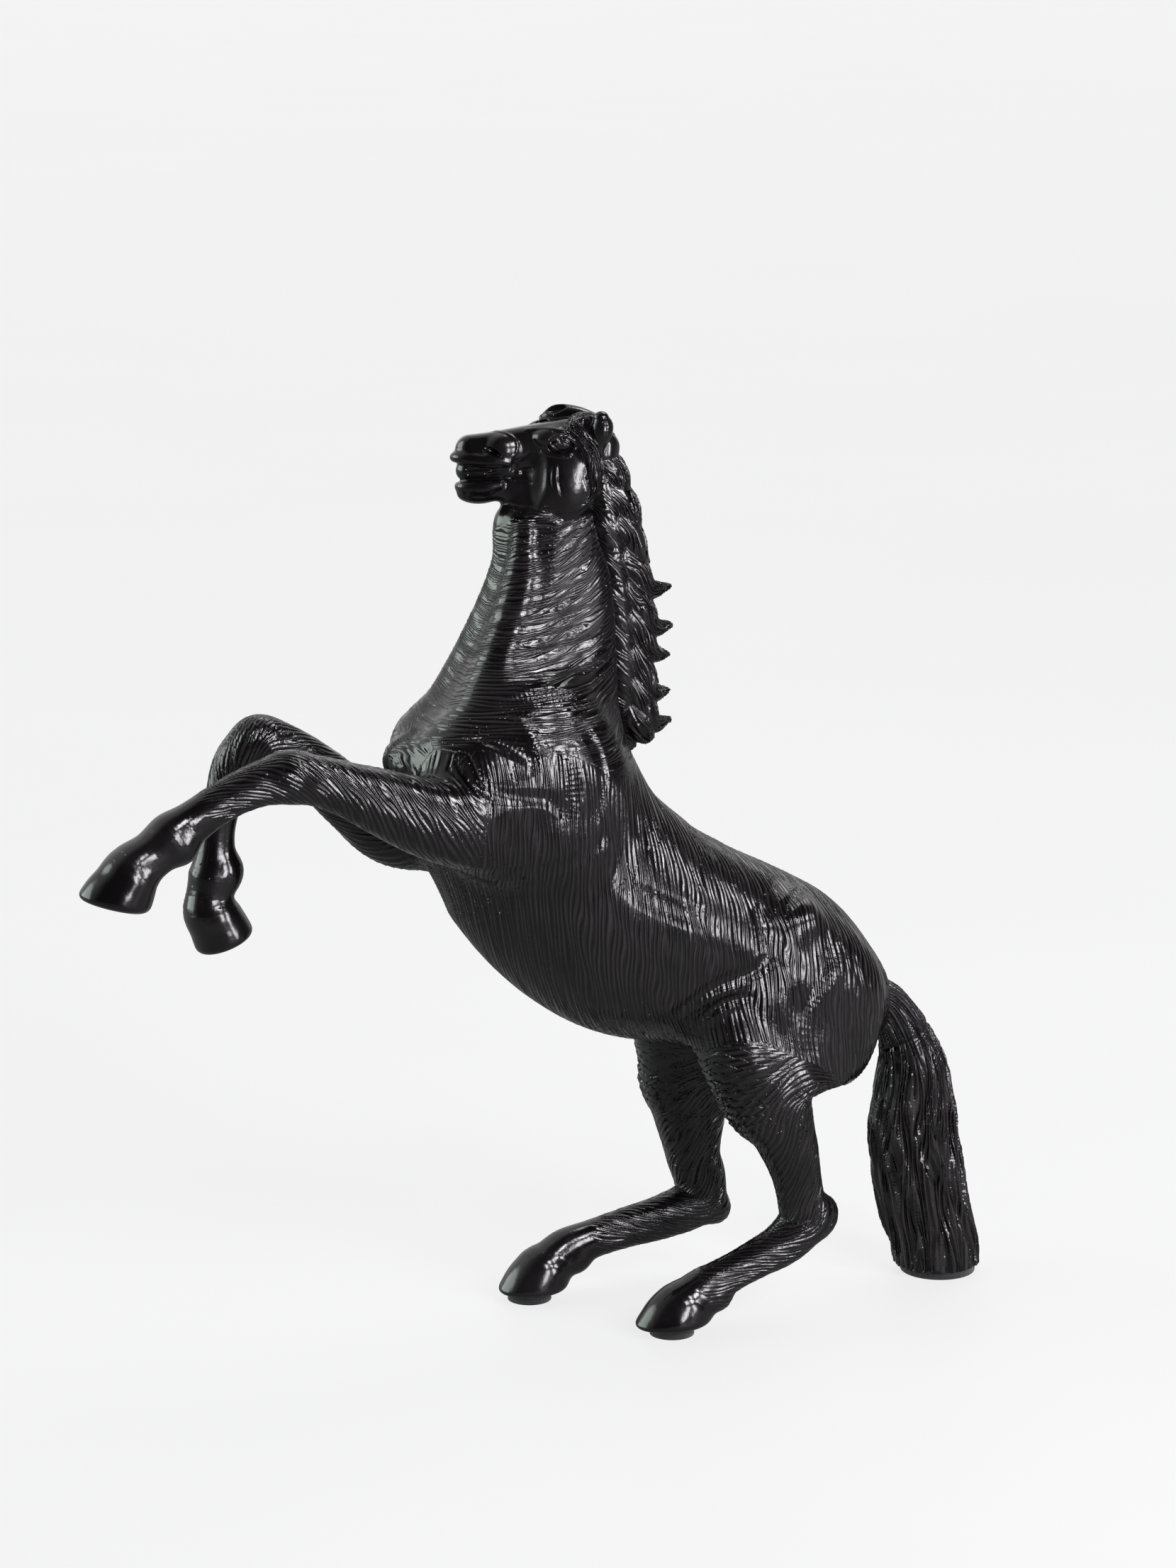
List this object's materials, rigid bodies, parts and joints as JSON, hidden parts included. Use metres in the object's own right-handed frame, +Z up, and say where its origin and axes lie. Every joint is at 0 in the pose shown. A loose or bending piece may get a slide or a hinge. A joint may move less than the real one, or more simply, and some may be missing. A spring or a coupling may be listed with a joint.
{
  "type": "rearing horse statuette",
  "caption": "Cast metal statuette of a horse rearing on its hind legs, balanced on both hind hooves and a long tail, each on a round felt pad.",
  "frame": {"origin": "middle of the bounding box, on the floor under the three felt pads", "axes": "+Z up, -X the way the horse faces, -Y its left side"},
  "size_m": [0.313, 0.0716, 0.2985],
  "materials": {
    "patinated_bronze": "glossy near-black lacquered patina over cast bronze",
    "bare_brass": "bare turned metal, hidden inside the joints",
    "black_felt": "matte felt"
  },
  "bodies": {
    "root": {"torso_casting": "patinated_bronze", "neck_casting": "patinated_bronze", "head_casting": "patinated_bronze", "mane_casting": "patinated_bronze", "left_foreleg_casting": "patinated_bronze", "right_foreleg_casting": "patinated_bronze", "left_hindleg_casting": "patinated_bronze", "right_hindleg_casting": "patinated_bronze", "tail_dock_casting": "patinated_bronze", "tail_hair_casting": "patinated_bronze", "neck_joint_sleeve": "bare_brass", "head_joint_sleeve": "bare_brass", "left_foreleg_pin": "bare_brass", "right_foreleg_pin": "bare_brass", "left_hindleg_pin": "bare_brass", "right_hindleg_pin": "bare_brass", "tail_root_pin": "bare_brass", "tail_joint_pin": "bare_brass", "mane_pin_upper": "bare_brass", "mane_pin_middle": "bare_brass", "mane_pin_lower": "bare_brass", "left_hoof_pad": "black_felt", "right_hoof_pad": "black_felt", "tail_pad": "black_felt"}
  },
  "joints": []
}
